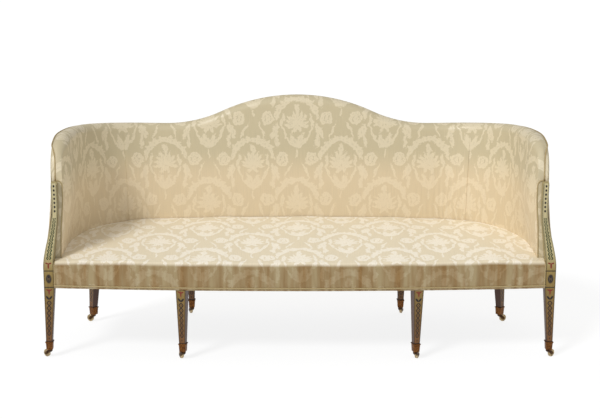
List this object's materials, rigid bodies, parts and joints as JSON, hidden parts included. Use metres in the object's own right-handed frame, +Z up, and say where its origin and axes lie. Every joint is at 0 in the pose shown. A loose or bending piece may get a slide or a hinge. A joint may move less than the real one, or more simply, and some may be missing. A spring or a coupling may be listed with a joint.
{
  "type": "camelback sofa",
  "caption": "Camelback sofa with a tight seat, a padded back that runs round into swept arms, painted square tapered legs and swivelling brass cup castors.",
  "frame": {"origin": "centre of the bounding box, on the floor plane under the castor wheels", "axes": "+X to the sofa's right as seen from the front, the front faces -Y, +Z up"},
  "size_m": [2.1624, 0.764, 1.027],
  "materials": {
    "damask": "pale gold silk damask, satin figure on a matt ground",
    "piping": "self piping of the same silk",
    "lining": "black cotton bottom lining",
    "stuffing": "curled hair in calico",
    "hessian": "plain woven hessian",
    "webbing": "woven linen webbing",
    "painted_wood": "gold-olive painted beech with lined borders",
    "frame_wood": "sawn beech",
    "castor_brass": "worn lacquered brass",
    "castor_wheel_brass": "turned brass, worn"
  },
  "bodies": {
    "sofa": {"arm_facings": "damask", "arm_hessian_left": "hessian", "arm_hessian_right": "hessian", "arm_rail_left": "frame_wood", "arm_rail_right": "frame_wood", "arm_stuffing_left": "stuffing", "arm_stuffing_right": "stuffing", "back_corner_leg_left": "painted_wood", "back_corner_leg_right": "painted_wood", "back_hessian": "hessian", "back_inner_leg_left": "painted_wood", "back_inner_leg_right": "painted_wood", "back_seat_rails": "frame_wood", "back_stuffing": "stuffing", "bottom_lining": "lining", "castor_cups": "castor_brass", "crest_rail": "frame_wood", "front_inner_leg_left": "painted_wood", "front_inner_leg_right": "painted_wood", "front_leg_left": "painted_wood", "front_leg_right": "painted_wood", "front_seat_rail": "frame_wood", "inside_arm_cover_left": "damask", "inside_arm_cover_right": "damask", "inside_back_cover": "damask", "outside_arm_cover_left": "damask", "outside_arm_cover_right": "damask", "outside_back_cover": "damask", "rim_piping": "piping", "seat_braces": "frame_wood", "seat_cover": "damask", "seat_hessian": "hessian", "seat_stuffing": "stuffing", "seat_welt": "piping", "side_seat_rails": "frame_wood", "webbing": "webbing"},
    "castor_front_right": {"castor_fork_front_right": "castor_brass", "castor_axle_front_right": "castor_brass"},
    "wheel_front_right": {"castor_wheel_front_right": "castor_wheel_brass"},
    "castor_front_left": {"castor_fork_front_left": "castor_brass", "castor_axle_front_left": "castor_brass"},
    "wheel_front_left": {"castor_wheel_front_left": "castor_wheel_brass"},
    "castor_front_inner_right": {"castor_fork_front_inner_right": "castor_brass", "castor_axle_front_inner_right": "castor_brass"},
    "wheel_front_inner_right": {"castor_wheel_front_inner_right": "castor_wheel_brass"},
    "castor_front_inner_left": {"castor_fork_front_inner_left": "castor_brass", "castor_axle_front_inner_left": "castor_brass"},
    "wheel_front_inner_left": {"castor_wheel_front_inner_left": "castor_wheel_brass"},
    "castor_back_inner_right": {"castor_fork_back_inner_right": "castor_brass", "castor_axle_back_inner_right": "castor_brass"},
    "wheel_back_inner_right": {"castor_wheel_back_inner_right": "castor_wheel_brass"},
    "castor_back_inner_left": {"castor_fork_back_inner_left": "castor_brass", "castor_axle_back_inner_left": "castor_brass"},
    "wheel_back_inner_left": {"castor_wheel_back_inner_left": "castor_wheel_brass"},
    "castor_back_right": {"castor_fork_back_right": "castor_brass", "castor_axle_back_right": "castor_brass"},
    "wheel_back_right": {"castor_wheel_back_right": "castor_wheel_brass"},
    "castor_back_left": {"castor_fork_back_left": "castor_brass", "castor_axle_back_left": "castor_brass"},
    "wheel_back_left": {"castor_wheel_back_left": "castor_wheel_brass"}
  },
  "joints": [
    {"name": "swivel_front_right", "type": "hinge", "parent": "sofa", "child": "castor_front_right", "pos_m": [1.05175, -0.31632, 0.036], "axis": [0, 0, 1], "continuous": true},
    {"name": "spin_front_right", "type": "hinge", "parent": "castor_front_right", "child": "wheel_front_right", "pos_m": [1.06612, -0.30549, 0.016], "axis": [-0.6018, 0.7986, 0], "continuous": true},
    {"name": "swivel_front_left", "type": "hinge", "parent": "sofa", "child": "castor_front_left", "pos_m": [-1.05175, -0.31632, 0.036], "axis": [0, 0, 1], "continuous": true},
    {"name": "spin_front_left", "type": "hinge", "parent": "castor_front_left", "child": "wheel_front_left", "pos_m": [-1.06612, -0.30549, 0.016], "axis": [-0.6018, -0.7986, 0], "continuous": true},
    {"name": "swivel_front_inner_right", "type": "hinge", "parent": "sofa", "child": "castor_front_inner_right", "pos_m": [0.48805, -0.34481, 0.036], "axis": [0, 0, 1], "continuous": true},
    {"name": "spin_front_inner_right", "type": "hinge", "parent": "castor_front_inner_right", "child": "wheel_front_inner_right", "pos_m": [0.4965, -0.32891, 0.016], "axis": [-0.8829, 0.4695, 0], "continuous": true},
    {"name": "swivel_front_inner_left", "type": "hinge", "parent": "sofa", "child": "castor_front_inner_left", "pos_m": [-0.48805, -0.34481, 0.036], "axis": [0, 0, 1], "continuous": true},
    {"name": "spin_front_inner_left", "type": "hinge", "parent": "castor_front_inner_left", "child": "wheel_front_inner_left", "pos_m": [-0.4965, -0.32891, 0.016], "axis": [-0.8829, -0.4695, 0], "continuous": true},
    {"name": "swivel_back_inner_right", "type": "hinge", "parent": "sofa", "child": "castor_back_inner_right", "pos_m": [0.48805, 0.29164, 0.036], "axis": [0, 0, 1], "continuous": true},
    {"name": "spin_back_inner_right", "type": "hinge", "parent": "castor_back_inner_right", "child": "wheel_back_inner_right", "pos_m": [0.4942, 0.30856, 0.016], "axis": [-0.9397, 0.342, 0], "continuous": true},
    {"name": "swivel_back_inner_left", "type": "hinge", "parent": "sofa", "child": "castor_back_inner_left", "pos_m": [-0.48805, 0.29164, 0.036], "axis": [0, 0, 1], "continuous": true},
    {"name": "spin_back_inner_left", "type": "hinge", "parent": "castor_back_inner_left", "child": "wheel_back_inner_left", "pos_m": [-0.4942, 0.30856, 0.016], "axis": [-0.9397, -0.342, 0], "continuous": true},
    {"name": "swivel_back_right", "type": "hinge", "parent": "sofa", "child": "castor_back_right", "pos_m": [0.93261, 0.17654, 0.036], "axis": [0, 0, 1], "continuous": true},
    {"name": "spin_back_right", "type": "hinge", "parent": "castor_back_right", "child": "wheel_back_right", "pos_m": [0.94892, 0.18414, 0.016], "axis": [-0.4226, 0.9063, 0], "continuous": true},
    {"name": "swivel_back_left", "type": "hinge", "parent": "sofa", "child": "castor_back_left", "pos_m": [-0.93261, 0.17654, 0.036], "axis": [0, 0, 1], "continuous": true},
    {"name": "spin_back_left", "type": "hinge", "parent": "castor_back_left", "child": "wheel_back_left", "pos_m": [-0.94892, 0.18414, 0.016], "axis": [-0.4226, -0.9063, 0], "continuous": true}
  ]
}
